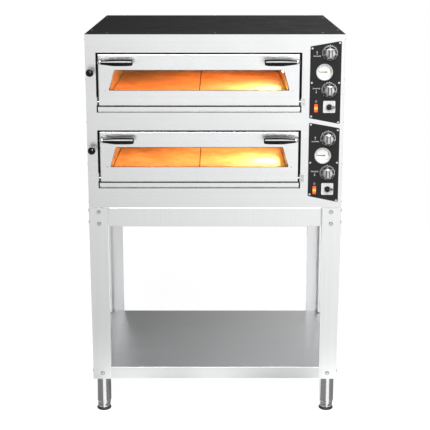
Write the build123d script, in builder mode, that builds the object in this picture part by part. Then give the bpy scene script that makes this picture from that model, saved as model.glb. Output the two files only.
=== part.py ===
from build123d import *
import os

# Twin-deck electric pizza oven on its open stainless stand, in millimetres.
# X is to the right, Y runs from the front to the back, Z is up. The origin is under the middle of
# the bounding box. Depths are counted from the front face of the casing and turned into Y by y_at().
os.makedirs("parts", exist_ok=True)

# Driving dimensions
WIDTH = 1000.0  # casing and stand, side to side
DEPTH = 900.0  # casing, front to back
STAND_HEIGHT = 870.0
OVEN_HEIGHT = 687.0
STAND_DEPTH = 680.0
FRONT_REACH = 65.0  # the vent balls are the foremost things
FLUE_REACH = 30.0  # the flue spigots are the rearmost things
FRONT = (FRONT_REACH - DEPTH - FLUE_REACH) / 2
HALF = WIDTH / 2
OVEN_TOP = STAND_HEIGHT + OVEN_HEIGHT
COVER = 2.0  # top cover sheet
PANEL = 1.5  # casing sheet
SHEET = 2.0  # stand sheet
CASING_TOP = OVEN_TOP - COVER

# Decks: every height of a deck is counted from the bottom edge of its door
DECKS = {"upper": 1279.0, "lower": 976.0}
DOOR_X = (-451.0, 327.0)
DOOR_MID = (DOOR_X[0] + DOOR_X[1]) / 2
DOOR_HEIGHT = 200.0
DOOR_FACE = -2.0  # depth of the door's front face
DOOR_BACK = 42.0
OPENING_X = (-460.0, 336.0)
OPENING_Z = (-27.0, 206.0)
SILL_Z = -5.0
SILL_LIP, SILL_FOOT, SILL_SET_BACK = 12.0, 21.8, 13.0  # two heights down from the sill's top, and a depth
PIVOT_DEPTH, PIVOT_Z = 8.0, 14.0
PIN_R, RUNNING = 4.0, 0.05  # hinge pins and rods, and their radial running clearance
WINDOW_Z = (59.5, 139.5)
WINDOW_HALF = (350.5, 327.3)  # half widths at the bottom and the top
FRAME_DEPTH = 48.0  # front face of the mouth frame
FRAME_SHEET = 2.0
CHAMBER_X = (-412.0, 288.0)
CHAMBER_DEPTH = (50.0, 760.0)
CHAMBER_Z = (-7.0, 188.0)
MOUTH_Z = (35.0, 188.0)
STONE_TOP, STONE_THICK = 38.0, 17.0
ELEMENT_Z = (8.0, 176.0)
ELEMENT_R = 4.0
ELEMENT_DEPTHS = (140.0, 380.0, 620.0)
LAMP_DEPTH, LAMP_Z, LAMP_R = 400.0, 113.0, 33.0
GRIP_DEPTH, GRIP_Z, GRIP_LENGTH = -50.0, 174.0, 123.0
GRIP_OFFSET = 374.0  # small end of a grip, from the door's middle
ARM_R = 6.0
VENT_X, VENT_Z, BALL_R = -478.0, 134.0, 15.0
BALL_DEPTH = BALL_R - FRONT_REACH
DUCT_X, DUCT_DEPTH, DUCT_HALF = (-496.0, -413.5), (640.0, 790.0), 38.0
FLUE_X, FLUE_R = -455.0, 30.0

# Control panel: plate corners and the heights of what it carries
PLATE_X = (366.5, 486.5)
PLATE_T = 2.0
PLATES = {
    "upper": ((1230.0, 1207.0), (1509.0, 1530.0)),
    "lower": ((918.0, 893.5), (1212.5, 1190.5)),
}
CONTROLS = {
    "upper": {"top": 1483.5, "gauge": 1410.5, "bottom": 1340.5, "switch": 1275.0, "lamp": 1269.8},
    "lower": {"top": 1149.5, "gauge": 1082.3, "bottom": 1012.3, "switch": 947.6, "lamp": 942.8},
}
KNOB_X, GAUGE_X, SWITCH_X, LAMP_X = 442.0, 422.0, 443.0, 392.0
SHAFT_R = 3.0
GAUGE_R = 33.0
SWITCH_SIDE = 47.0
PILOT = (11.0, 30.0)

# Stand
LEG_WIDTH, LEG_DEPTH, LEG_LIP, LEG_PROUD = 74.0, 40.0, 20.0, 4.0
LEG_BOTTOM = 144.0
RAIL_HEIGHT = 76.0
RAIL_END = 418.5
WING_DEPTH = 17.0
SHELF_TOP, SHELF_HEIGHT = 195.0, 49.0
FOOT_X, FOOT_IN, FOOT_R = 462.0, 32.0, 30.0
BOLT_X = 461.0
BOLT_HEIGHTS = (853.0, 805.0)
SHELF_BOLT_Z = 169.0
SIDE_BOLT_IN = 26.0
BOLT_R, BOLT_HEAD_R, BOLT_HEAD = 4.0, 8.5, 5.0


def y_at(depth):
    """Y of a depth behind the casing's front face."""
    return FRONT + depth


def front_plane(depth, x=0, z=0):
    """The upright plane at a depth that faces the front: its own y is up, its normal is -Y."""
    return Plane(origin=(x, y_at(depth), z), x_dir=(1, 0, 0), z_dir=(0, -1, 0))


def block(x, depth, z, mode=Mode.ADD):
    """Adds or cuts the box between two x values, two depths and two heights."""
    with Locations(((x[0] + x[1]) / 2, y_at((depth[0] + depth[1]) / 2), (z[0] + z[1]) / 2)):
        Box(x[1] - x[0], depth[1] - depth[0], z[1] - z[0], mode=mode)


def rod(radius, start, end, mode=Mode.ADD):
    """Adds or cuts a round bar between two points, each given as (x, depth, z)."""
    first = Vector(start[0], y_at(start[1]), start[2])
    last = Vector(end[0], y_at(end[1]), end[2])
    with BuildSketch(Plane(origin=first, z_dir=last - first)) as section:
        Circle(radius)
    extrude(section.sketch, amount=(last - first).length, mode=mode)


def turned(points, x, z):
    """Revolves an outline of (radius, depth) points about the Y-parallel line through x and z."""
    with BuildSketch(Plane(origin=(x, FRONT, z), x_dir=(1, 0, 0), z_dir=(0, 0, 1))) as outline:
        with BuildLine():
            Polyline(*points, close=True)
        make_face()
    revolve(outline.sketch, axis=Axis((x, FRONT, z), (0, 1, 0)))


def domed_head(radius, height, centre, out):
    """A domed screw head that stands height proud of centre in the direction out."""
    with BuildSketch(Plane(origin=centre, z_dir=out)) as rim:
        Circle(radius)
    extrude(rim.sketch, amount=height * 0.45)
    with BuildSketch(Plane(origin=Vector(*centre) + Vector(*out) * height * 0.45, z_dir=out)) as dome:
        Circle(radius)
    extrude(dome.sketch, amount=height * 0.55, taper=42)


def save(builder, name):
    builder.part.label = name
    export_step(builder.part, f"parts/{name}.step")


# ---------------------------------------------------------------- stand
def leg_pair(name, face, inward):
    """Two C-section legs whose webs lie at depth face and open in the direction inward."""

    def depths(a, b):
        return tuple(sorted((face + inward * a, face + inward * b)))

    inner = HALF - LEG_WIDTH
    with BuildPart() as legs:
        block((-HALF, -inner), depths(0, SHEET), (LEG_BOTTOM, STAND_HEIGHT))
        block((-HALF, SHEET - HALF), depths(0, LEG_DEPTH), (LEG_BOTTOM, STAND_HEIGHT))
        block((-inner - SHEET, -inner), depths(0, WING_DEPTH + LEG_PROUD), (SHELF_TOP + 5, STAND_HEIGHT))
        block(
            (-HALF, LEG_LIP - HALF),
            depths(LEG_DEPTH - SHEET, LEG_DEPTH),
            (SHELF_TOP + 5, STAND_HEIGHT - RAIL_HEIGHT - 4),
        )
        corner = legs.edges().filter_by(Axis.Z).filter_by_position(Axis.X, -HALF - 1, -HALF + 0.1)
        fillet(corner.sort_by(lambda e: abs(e.center().Y - y_at(face)))[0], SHEET * 0.9)
        for height in (*BOLT_HEIGHTS, SHELF_BOLT_Z):
            near, far = depths(-1, SHEET + 1)
            rod(BOLT_R + 0.5, (-BOLT_X, near, height), (-BOLT_X, far, height), Mode.SUBTRACT)
            side = face + inward * (SIDE_BOLT_IN + LEG_PROUD)
            rod(BOLT_R + 0.5, (-HALF - 1, side, height), (SHEET + 1 - HALF, side, height), Mode.SUBTRACT)
        mirror(about=Plane.YZ)
    save(legs, name)


leg_pair("front_legs", -LEG_PROUD, 1)
leg_pair("rear_legs", STAND_DEPTH, -1)

STAND_MID = (STAND_DEPTH - LEG_PROUD) / 2
mid_plane = Plane(origin=(0, y_at(STAND_MID), 0), z_dir=(0, 1, 0))
RAIL_BOTTOM = STAND_HEIGHT - RAIL_HEIGHT

with BuildPart() as cross_rails:
    rail_face = 1 - LEG_PROUD
    block((-RAIL_END, RAIL_END), (rail_face, rail_face + SHEET), (RAIL_BOTTOM, STAND_HEIGHT))
    block((-RAIL_END, RAIL_END), (rail_face, 30), (STAND_HEIGHT - SHEET, STAND_HEIGHT))
    block((-RAIL_END, RAIL_END), (rail_face, 17), (RAIL_BOTTOM, RAIL_BOTTOM + SHEET))
    for side in (-1, 1):
        ends = sorted((side * RAIL_END, side * (RAIL_END - SHEET)))
        block(ends, (rail_face, WING_DEPTH + SHEET), (RAIL_BOTTOM, STAND_HEIGHT))
        wing = sorted((side * (RAIL_END - SHEET), side * (HALF - 12)))
        block(wing, (WING_DEPTH, WING_DEPTH + SHEET), (RAIL_BOTTOM + 2, STAND_HEIGHT - 2))
        for height in BOLT_HEIGHTS:
            rod(
                BOLT_R + 0.5,
                (side * BOLT_X, WING_DEPTH - 1, height),
                (side * BOLT_X, WING_DEPTH + SHEET + 1, height),
                Mode.SUBTRACT,
            )
    bends = cross_rails.edges().filter_by(Axis.X).filter_by_position(
        Axis.Y, y_at(rail_face) - 0.1, y_at(rail_face) + 0.1
    )
    fillet(bends, SHEET * 0.8)
    mirror(about=mid_plane)
save(cross_rails, "cross_rails")

with BuildPart() as side_rails:
    outer = SHEET - HALF
    block((outer, outer + SHEET), (2, 2 * STAND_MID - 2), (RAIL_BOTTOM + 2, STAND_HEIGHT - 2))
    block((outer, outer + 28), (LEG_DEPTH, 2 * STAND_MID - LEG_DEPTH), (STAND_HEIGHT - 2, STAND_HEIGHT))
    block((outer, outer + SHEET), (LEG_DEPTH, 2 * STAND_MID - LEG_DEPTH), (RAIL_BOTTOM, STAND_HEIGHT))
    block((outer, outer + 20), (LEG_DEPTH, 2 * STAND_MID - LEG_DEPTH), (RAIL_BOTTOM, RAIL_BOTTOM + SHEET))
    for depth in (SIDE_BOLT_IN, 2 * STAND_MID - SIDE_BOLT_IN):
        for height in BOLT_HEIGHTS:
            rod(BOLT_R + 0.5, (outer - 1, depth, height), (outer + 3, depth, height), Mode.SUBTRACT)
    mirror(about=Plane.YZ)
save(side_rails, "side_rails")

with BuildPart() as shelf:
    pan_x = HALF - SHEET
    pan_front, pan_back = SHEET - LEG_PROUD, STAND_DEPTH - SHEET
    shelf_bottom = SHELF_TOP - SHELF_HEIGHT
    block((-pan_x, pan_x), (pan_front, pan_back), (shelf_bottom, SHELF_TOP))
    block(
        (SHEET - pan_x, pan_x - SHEET),
        (pan_front + SHEET, pan_back - SHEET),
        (shelf_bottom, SHELF_TOP - SHEET),
        Mode.SUBTRACT,
    )
    for depths in ((pan_front, pan_front + 16), (pan_back - 16, pan_back)):
        block((-420, 420), depths, (shelf_bottom, shelf_bottom + SHEET))
    rims = shelf.edges().filter_by(GeomType.LINE).filter_by_position(
        Axis.Z, SHELF_TOP - 0.1, SHELF_TOP + 0.1
    )
    fillet(rims, SHEET * 0.9)
    for side in (-1, 1):
        for depth, hole in ((pan_front, 1), (pan_back, -1)):
            rod(
                BOLT_R + 0.5,
                (side * BOLT_X, depth - hole, SHELF_BOLT_Z),
                (side * BOLT_X, depth + 3 * hole, SHELF_BOLT_Z),
                Mode.SUBTRACT,
            )
        for depth in (SIDE_BOLT_IN, 2 * STAND_MID - SIDE_BOLT_IN):
            rod(
                BOLT_R + 0.5,
                (side * (pan_x + 1), depth, SHELF_BOLT_Z),
                (side * (pan_x - 3), depth, SHELF_BOLT_Z),
                Mode.SUBTRACT,
            )
save(shelf, "shelf")


def stand_bolt(head, inward, grip):
    """A domed M8 bolt from its head's seat, through grip millimetres of sheet, to its nut."""
    domed_head(BOLT_HEAD_R, BOLT_HEAD, head, tuple(-v for v in inward))
    with BuildSketch(Plane(origin=head, z_dir=inward)) as shank:
        Circle(BOLT_R)
    extrude(shank.sketch, amount=grip + 10)
    nut_seat = Vector(*head) + Vector(*inward) * grip
    with BuildSketch(Plane(origin=nut_seat, z_dir=inward)) as nut:
        RegularPolygon(7.5, 6)
    extrude(nut.sketch, amount=6.5)


with BuildPart() as stand_bolts:
    for height in BOLT_HEIGHTS:
        stand_bolt(
            (-BOLT_X, y_at(-LEG_PROUD), height), (0, 1, 0), WING_DEPTH + SHEET + LEG_PROUD
        )
        stand_bolt((-HALF, y_at(SIDE_BOLT_IN), height), (1, 0, 0), 2 * SHEET)
    stand_bolt((-BOLT_X, y_at(-LEG_PROUD), SHELF_BOLT_Z), (0, 1, 0), 2 * SHEET)
    stand_bolt((-HALF, y_at(SIDE_BOLT_IN), SHELF_BOLT_Z), (1, 0, 0), 2 * SHEET)
    mirror(about=Plane.YZ)
    mirror(about=mid_plane)
save(stand_bolts, "stand_bolts")

foot_depths = {"front": FOOT_IN, "rear": 2 * STAND_MID - FOOT_IN}
with BuildPart() as foot_sockets:
    tube_bottom, plate_z = 40.0, 148.0
    rod(FOOT_R, (-FOOT_X, FOOT_IN, tube_bottom), (-FOOT_X, FOOT_IN, plate_z))
    rod(FOOT_R - 2, (-FOOT_X, FOOT_IN, 64), (-FOOT_X, FOOT_IN, plate_z), Mode.SUBTRACT)
    rod(10 + RUNNING, (-FOOT_X, FOOT_IN, 30), (-FOOT_X, FOOT_IN, 70), Mode.SUBTRACT)
    block((SHEET * 2 - HALF, -428), (0, 64), (plate_z, plate_z + 4))
    mirror(about=Plane.YZ)
    mirror(about=mid_plane)
save(foot_sockets, "foot_sockets")

for side_name, side in (("left", -1), ("right", 1)):
    for end_name, depth in foot_depths.items():
        with BuildPart() as foot:
            with BuildSketch(Plane(origin=(side * FOOT_X, y_at(depth), 0))):
                Circle(FOOT_R - 0.5)
            extrude(amount=12)
            chamfer(foot.edges().group_by(Axis.Z)[0], 1.5)
            chamfer(foot.edges().group_by(Axis.Z)[-1], 2.5)
            with BuildSketch(Plane(origin=(side * FOOT_X, y_at(depth), 12))):
                Circle(27.5)
                RegularPolygon(26.2, 6, major_radius=False, mode=Mode.INTERSECT)
            extrude(amount=27.5)
            with BuildSketch(Plane(origin=(side * FOOT_X, y_at(depth), 39.5))):
                Circle(10)
            extrude(amount=60)
        save(foot, f"foot_{end_name}_{side_name}")


# ---------------------------------------------------------------- casing
def door_opening(deck_z, depths):
    """Cuts one deck's door opening."""
    block(OPENING_X, depths, (deck_z + OPENING_Z[0], deck_z + OPENING_Z[1]), Mode.SUBTRACT)


def plate_screws(deck):
    """The six screw positions of a control plate, as (x, z)."""
    (bottom_left, bottom_right), (top_left, top_right) = PLATES[deck]
    inset = 7.5
    left, right = PLATE_X[0] + inset, PLATE_X[1] - inset
    middle = (bottom_left + bottom_right + top_left + top_right) / 4
    return [
        (left, top_left - inset),
        (right, top_right - inset),
        (left, middle),
        (right, middle),
        (left, bottom_left + inset),
        (right, bottom_right + inset),
    ]


def control_holes(depths):
    """Cuts the holes of both control panels through the sheets between two depths."""
    for deck, heights in CONTROLS.items():
        for knob in ("top", "bottom"):
            rod(5, (KNOB_X, depths[0], heights[knob]), (KNOB_X, depths[1], heights[knob]), Mode.SUBTRACT)
        gauge = heights["gauge"]
        rod(31, (GAUGE_X, depths[0], gauge), (GAUGE_X, depths[1], gauge), Mode.SUBTRACT)
        switch = heights["switch"]
        rod(11, (SWITCH_X, depths[0], switch), (SWITCH_X, depths[1], switch), Mode.SUBTRACT)
        half_w, half_h = PILOT[0] / 2 + 0.2, PILOT[1] / 2 + 0.2
        lamp = heights["lamp"]
        block((LAMP_X - half_w, LAMP_X + half_w), depths, (lamp - half_h, lamp + half_h), Mode.SUBTRACT)
        for x, z in plate_screws(deck):
            rod(2, (x, depths[0], z), (x, depths[1], z), Mode.SUBTRACT)


RETURN = 22.0  # folded sides of the fascia
with BuildPart() as fascia:
    block((-HALF, HALF), (0, PANEL), (STAND_HEIGHT, CASING_TOP))
    for side in (-1, 1):
        block(sorted((side * HALF, side * (HALF - PANEL))), (0, RETURN), (STAND_HEIGHT, CASING_TOP))
    block((-HALF, HALF), (0, RETURN), (CASING_TOP - PANEL, CASING_TOP))
    block((-HALF, HALF), (0, RETURN), (STAND_HEIGHT, STAND_HEIGHT + PANEL))
    corners = fascia.edges().filter_by(Axis.Z).filter_by_position(Axis.Y, FRONT - 0.1, FRONT + 0.1)
    fillet(corners, PANEL * 0.9)
    for deck_z in DECKS.values():
        door_opening(deck_z, (-1, PANEL + 1))
        rod(
            PIN_R + RUNNING,
            (VENT_X, -1, deck_z + VENT_Z),
            (VENT_X, PANEL + 1, deck_z + VENT_Z),
            Mode.SUBTRACT,
        )
    control_holes((-1, PANEL + 1))
save(fascia, "fascia")

LOUVRES = [1060 + 26 * step for step in range(14)]
for name, side in (("side_panel_left", -1), ("side_panel_right", 1)):
    with BuildPart() as side_panel:
        skin = sorted((side * HALF, side * (HALF - PANEL)))
        block(skin, (RETURN + 0.3, DEPTH - PANEL), (STAND_HEIGHT, CASING_TOP))
        block(
            sorted((side * HALF, side * (HALF - 16))),
            (RETURN + 0.3, DEPTH - PANEL),
            (CASING_TOP - PANEL, CASING_TOP),
        )
        block(
            sorted((side * (HALF - PANEL), side * (HALF - 2 * PANEL))),
            (4, RETURN + 12),
            (STAND_HEIGHT + 4, CASING_TOP - 4),
        )
        if side > 0:
            for z in LOUVRES:
                with Locations((side * HALF, y_at(150), z)):
                    Box(8, 90, 5, mode=Mode.SUBTRACT)
    save(side_panel, name)

with BuildPart() as rear_panel:
    block((-HALF, HALF), (DEPTH - PANEL, DEPTH), (STAND_HEIGHT, CASING_TOP))
    upright = rear_panel.edges().filter_by(Axis.Z).sort_by(Axis.Y)[-2:]
    fillet(upright, PANEL * 0.8)
    for deck_z in DECKS.values():
        rod(
            FLUE_R - 0.5,
            (FLUE_X, DEPTH - 5, deck_z + VENT_Z),
            (FLUE_X, DEPTH + 5, deck_z + VENT_Z),
            Mode.SUBTRACT,
        )
    rod(10.5, (420, DEPTH - 5, 905), (420, DEPTH + 5, 905), Mode.SUBTRACT)
    for z in LOUVRES:
        with Locations((400, y_at(DEPTH), z)):
            Box(90, 8, 5, mode=Mode.SUBTRACT)
save(rear_panel, "rear_panel")

with BuildPart() as base_pan:
    block((2 - HALF, HALF - 2), (RETURN + 1, DEPTH - 2), (STAND_HEIGHT, STAND_HEIGHT + PANEL))
    for side in (-1, 1):
        rim = sorted((side * (HALF - 3.2), side * (HALF - 3.2 - PANEL)))
        block(rim, (RETURN + 15, DEPTH - 2), (STAND_HEIGHT, STAND_HEIGHT + 16))
save(base_pan, "base_pan")

with BuildPart() as top_cover:
    block((-HALF, HALF), (0, DEPTH), (CASING_TOP, OVEN_TOP))
    fillet(top_cover.edges().group_by(Axis.Z)[-1], COVER * 0.6)
save(top_cover, "top_cover")


def small_screw(seat, out):
    """A pan-head casing screw lying on the sheet at seat."""
    domed_head(4.2, 2.0, seat, out)


with BuildPart() as casing_screws:
    for depth in (30, DEPTH - 30):
        for x in (-415, 0, 415):
            small_screw((x, y_at(depth), OVEN_TOP), (0, 0, 1))
    for x in (-485, 485):
        for depth in (142, 758):
            small_screw((x, y_at(depth), OVEN_TOP), (0, 0, 1))
    for side in (-1, 1):
        for depth in (12, DEPTH - 14):
            for z in (892, 1046.5, 1212, 1379, 1535):
                small_screw((side * HALF, y_at(depth), z), (side, 0, 0))
        for z in (892, 1212, 1535):
            small_screw((side * 480, y_at(DEPTH), z), (0, 1, 0))
save(casing_screws, "casing_screws")

# ---------------------------------------------------------------- chambers
with BuildPart() as mouth_frames:
    for deck_z in DECKS.values():
        low, high = deck_z + OPENING_Z[0], deck_z + OPENING_Z[1]
        outer_x = (OPENING_X[0] - PANEL, OPENING_X[1] + PANEL)
        block(outer_x, (PANEL, FRAME_DEPTH + FRAME_SHEET), (low - PANEL, high + PANEL))
        block(OPENING_X, (0, FRAME_DEPTH), (low, high), Mode.SUBTRACT)
        block(
            CHAMBER_X,
            (FRAME_DEPTH - 1, FRAME_DEPTH + FRAME_SHEET + 1),
            (deck_z + MOUTH_Z[0], deck_z + MOUTH_Z[1]),
            Mode.SUBTRACT,
        )
save(mouth_frames, "mouth_frames")

with BuildPart() as sills:
    for deck_z in DECKS.values():
        top, sill_x = deck_z + SILL_Z, (-455, 331)
        step = top - SILL_LIP
        block(sill_x, (2, FRAME_DEPTH), (top - PANEL, top))
        block(sill_x, (2, 2 + PANEL), (step, top))
        block(sill_x, (2, SILL_SET_BACK), (step, step + PANEL))
        block(sill_x, (SILL_SET_BACK - PANEL, SILL_SET_BACK), (top - SILL_FOOT, step + PANEL))
save(sills, "sills")

with BuildPart() as door_gaskets:
    for deck_z in DECKS.values():
        block((-434, 310), (DOOR_BACK + 0.4, FRAME_DEPTH), (deck_z + 25, deck_z + 197))
        block((-422, 298), (DOOR_BACK, FRAME_DEPTH + 1), (deck_z + 34, deck_z + 189), Mode.SUBTRACT)
save(door_gaskets, "door_gaskets")

with BuildPart() as chamber_liners:
    for deck_z in DECKS.values():
        inner_z = (deck_z + CHAMBER_Z[0], deck_z + CHAMBER_Z[1])
        block(
            (CHAMBER_X[0] - PANEL, CHAMBER_X[1] + PANEL),
            (CHAMBER_DEPTH[0], CHAMBER_DEPTH[1] + PANEL),
            (inner_z[0] - PANEL, inner_z[1] + PANEL),
        )
        block(CHAMBER_X, (CHAMBER_DEPTH[0] - 1, CHAMBER_DEPTH[1]), inner_z, Mode.SUBTRACT)
        stone_base = deck_z + STONE_TOP - STONE_THICK
        ledge_z = (stone_base - PANEL, stone_base)
        block((CHAMBER_X[0], CHAMBER_X[0] + 15), (52, CHAMBER_DEPTH[1]), ledge_z)
        block((CHAMBER_X[1] - 15, CHAMBER_X[1]), (52, CHAMBER_DEPTH[1]), ledge_z)
        block((DOOR_MID - 10, DOOR_MID + 10), (52, CHAMBER_DEPTH[1]), (stone_base - 6, stone_base))
        block(
            (CHAMBER_X[0] - 5, CHAMBER_X[0] + 1),
            (705, 755),
            (deck_z + VENT_Z - 20, deck_z + VENT_Z + 20),
            Mode.SUBTRACT,
        )
        lamp_z = deck_z + LAMP_Z
        rod(
            LAMP_R + 0.5,
            (CHAMBER_X[1] - 1, LAMP_DEPTH, lamp_z),
            (CHAMBER_X[1] + 5, LAMP_DEPTH, lamp_z),
            Mode.SUBTRACT,
        )
        for level in ELEMENT_Z:
            for depth in ELEMENT_DEPTHS:
                for offset in (-35, 35):
                    rod(
                        ELEMENT_R + 1,
                        (CHAMBER_X[1] - 1, depth + offset, deck_z + level),
                        (CHAMBER_X[1] + 5, depth + offset, deck_z + level),
                        Mode.SUBTRACT,
                    )
save(chamber_liners, "chamber_liners")

with BuildPart() as hearth_stones:
    for deck_z in DECKS.values():
        stone_z = (deck_z + STONE_TOP - STONE_THICK, deck_z + STONE_TOP)
        block((CHAMBER_X[0] + 3, DOOR_MID - 1), (56, 756), stone_z)
        block((DOOR_MID + 1, CHAMBER_X[1] - 3), (56, 756), stone_z)
    chamfer(hearth_stones.edges().filter_by(Axis.Y), 1.2)
save(hearth_stones, "hearth_stones")

with BuildPart() as heating_elements:
    for deck_z in DECKS.values():
        for level in ELEMENT_Z:
            for depth in ELEMENT_DEPTHS:
                z, bend_x, end_x = deck_z + level, -355.0, CHAMBER_X[1] + 14
                with BuildLine():
                    Line((end_x, y_at(depth - 35), z), (bend_x, y_at(depth - 35), z))
                    ThreePointArc(
                        (bend_x, y_at(depth - 35), z),
                        (bend_x - 35, y_at(depth), z),
                        (bend_x, y_at(depth + 35), z),
                    )
                    Line((bend_x, y_at(depth + 35), z), (end_x, y_at(depth + 35), z))
                with BuildSketch(Plane(origin=(end_x, y_at(depth - 35), z), z_dir=(-1, 0, 0))):
                    Circle(ELEMENT_R)
                sweep()
save(heating_elements, "heating_elements")

INSULATION_X = (-458.0, 286.0)
with BuildPart() as insulation:
    low_z, high_z = DECKS["lower"], DECKS["upper"]
    block(INSULATION_X, (52, 800), (STAND_HEIGHT + 15, low_z + CHAMBER_Z[0] - PANEL))
    block(
        INSULATION_X,
        (52, 800),
        (low_z + CHAMBER_Z[1] + PANEL, high_z + CHAMBER_Z[0] - PANEL),
    )
    block(INSULATION_X, (52, 800), (high_z + CHAMBER_Z[1] + PANEL, CASING_TOP - 12))
    for deck_z in DECKS.values():
        level = (deck_z + CHAMBER_Z[0] - 1, deck_z + CHAMBER_Z[1] + 1)
        block((INSULATION_X[0], CHAMBER_X[0] - PANEL), (52, 635), level)
        block((CHAMBER_X[0] + 2, INSULATION_X[1]), (CHAMBER_DEPTH[1] + PANEL, 860), level)
save(insulation, "insulation")

with BuildPart() as lamp_housings:
    for deck_z in DECKS.values():
        lamp_z, wall = deck_z + LAMP_Z, CHAMBER_X[1]
        rod(LAMP_R, (wall, LAMP_DEPTH, lamp_z), (wall + 40, LAMP_DEPTH, lamp_z))
        rod(LAMP_R + 9, (wall + PANEL, LAMP_DEPTH, lamp_z), (wall + PANEL + 2, LAMP_DEPTH, lamp_z))
        rod(
            LAMP_R - 2,
            (wall - 1, LAMP_DEPTH, lamp_z),
            (wall + 37, LAMP_DEPTH, lamp_z),
            Mode.SUBTRACT,
        )
save(lamp_housings, "lamp_housings")

with BuildPart() as lamp_glasses:
    for deck_z in DECKS.values():
        lamp_z, wall = deck_z + LAMP_Z, CHAMBER_X[1]
        rod(LAMP_R + 4, (wall - 5, LAMP_DEPTH, lamp_z), (wall, LAMP_DEPTH, lamp_z))
    chamfer(lamp_glasses.edges().group_by(Axis.X)[0], 3)
save(lamp_glasses, "lamp_glasses")

with BuildPart() as flue_ducts:
    for deck_z in DECKS.values():
        duct_z = deck_z + VENT_Z
        span = (duct_z - DUCT_HALF, duct_z + DUCT_HALF)
        block(DUCT_X, DUCT_DEPTH, span)
        block(
            (DUCT_X[0] + PANEL, DUCT_X[1] + 1),
            (DUCT_DEPTH[0] + PANEL, DUCT_DEPTH[1] - PANEL),
            (span[0] + PANEL, span[1] - PANEL),
            Mode.SUBTRACT,
        )
        rod(
            PIN_R + RUNNING,
            (VENT_X, DUCT_DEPTH[0] - 1, duct_z),
            (VENT_X, DUCT_DEPTH[0] + 3, duct_z),
            Mode.SUBTRACT,
        )
        tail = DUCT_DEPTH[1] - PANEL
        rod(FLUE_R - 1, (FLUE_X, tail, duct_z), (FLUE_X, DEPTH, duct_z))
        rod(FLUE_R, (FLUE_X, DEPTH, duct_z), (FLUE_X, DEPTH + FLUE_REACH, duct_z))
        rod(
            FLUE_R - 2.5,
            (FLUE_X, tail - 1, duct_z),
            (FLUE_X, DEPTH + FLUE_REACH + 1, duct_z),
            Mode.SUBTRACT,
        )
save(flue_ducts, "flue_ducts")

with BuildPart() as cable_gland:
    for start, end, radius in ((DEPTH, DEPTH + 3, 15), (DEPTH - 8, DEPTH, 10), (DEPTH + 3, DEPTH + 22, 11)):
        rod(radius, (420, start, 905), (420, end, 905))
    with BuildSketch(Plane(origin=(420, y_at(DEPTH + 3), 905), z_dir=(0, 1, 0))):
        RegularPolygon(14, 6)
    extrude(amount=8)
    with BuildSketch(Plane(origin=(420, y_at(DEPTH - PANEL), 905), z_dir=(0, -1, 0))):
        RegularPolygon(15, 6)
    extrude(amount=5)
    rod(6, (420, DEPTH - 10, 905), (420, DEPTH + 30, 905), Mode.SUBTRACT)
save(cable_gland, "cable_gland")

# ---------------------------------------------------------------- doors, hinges and vents
with BuildPart() as hinge_brackets:
    for deck_z in DECKS.values():
        pivot = deck_z + PIVOT_Z
        block((OPENING_X[0], OPENING_X[0] + 3), (2, 32), (pivot - 12, pivot + 20))
        rod(PIN_R, (OPENING_X[0] + 3, PIVOT_DEPTH, pivot), (DOOR_X[0] + 12, PIVOT_DEPTH, pivot))
        block((OPENING_X[1] - 3, OPENING_X[1]), (-PANEL, 32), (pivot - 14, pivot + 14))
        block((OPENING_X[1] - 3, OPENING_X[1] + 14), (-PANEL, 0), (pivot - 14, pivot + 14))
        rod(PIN_R, (OPENING_X[1] - 3, PIVOT_DEPTH, pivot), (DOOR_X[1] - 12, PIVOT_DEPTH, pivot))
        for offset in (-8, 8):
            domed_head(3.2, 1.6, (OPENING_X[1] + 7.5, y_at(-PANEL), pivot + offset), (0, -1, 0))
save(hinge_brackets, "hinge_brackets")


def pivot_holes(deck_z):
    """Cuts the running holes for both hinge pins."""
    for x in DOOR_X:
        rod(
            PIN_R + RUNNING,
            (x - 4, PIVOT_DEPTH, deck_z + PIVOT_Z),
            (x + 4, PIVOT_DEPTH, deck_z + PIVOT_Z),
            Mode.SUBTRACT,
        )


def pan(x, depth, z, mode=Mode.ADD):
    """Adds or cuts the door's inner pan, with its lower back corner cut off to swing past the gasket."""
    with BuildSketch(Plane(origin=(x[0], 0, 0), x_dir=(0, 1, 0), z_dir=(1, 0, 0))) as section:
        with BuildLine():
            Polyline(
                (y_at(depth[0]), z[0]),
                (y_at(depth[1] - PAN_CORNER), z[0]),
                (y_at(depth[1]), z[0] + PAN_CORNER),
                (y_at(depth[1]), z[1]),
                (y_at(depth[0]), z[1]),
                close=True,
            )
        make_face()
    extrude(section.sketch, amount=x[1] - x[0], mode=mode)


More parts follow.
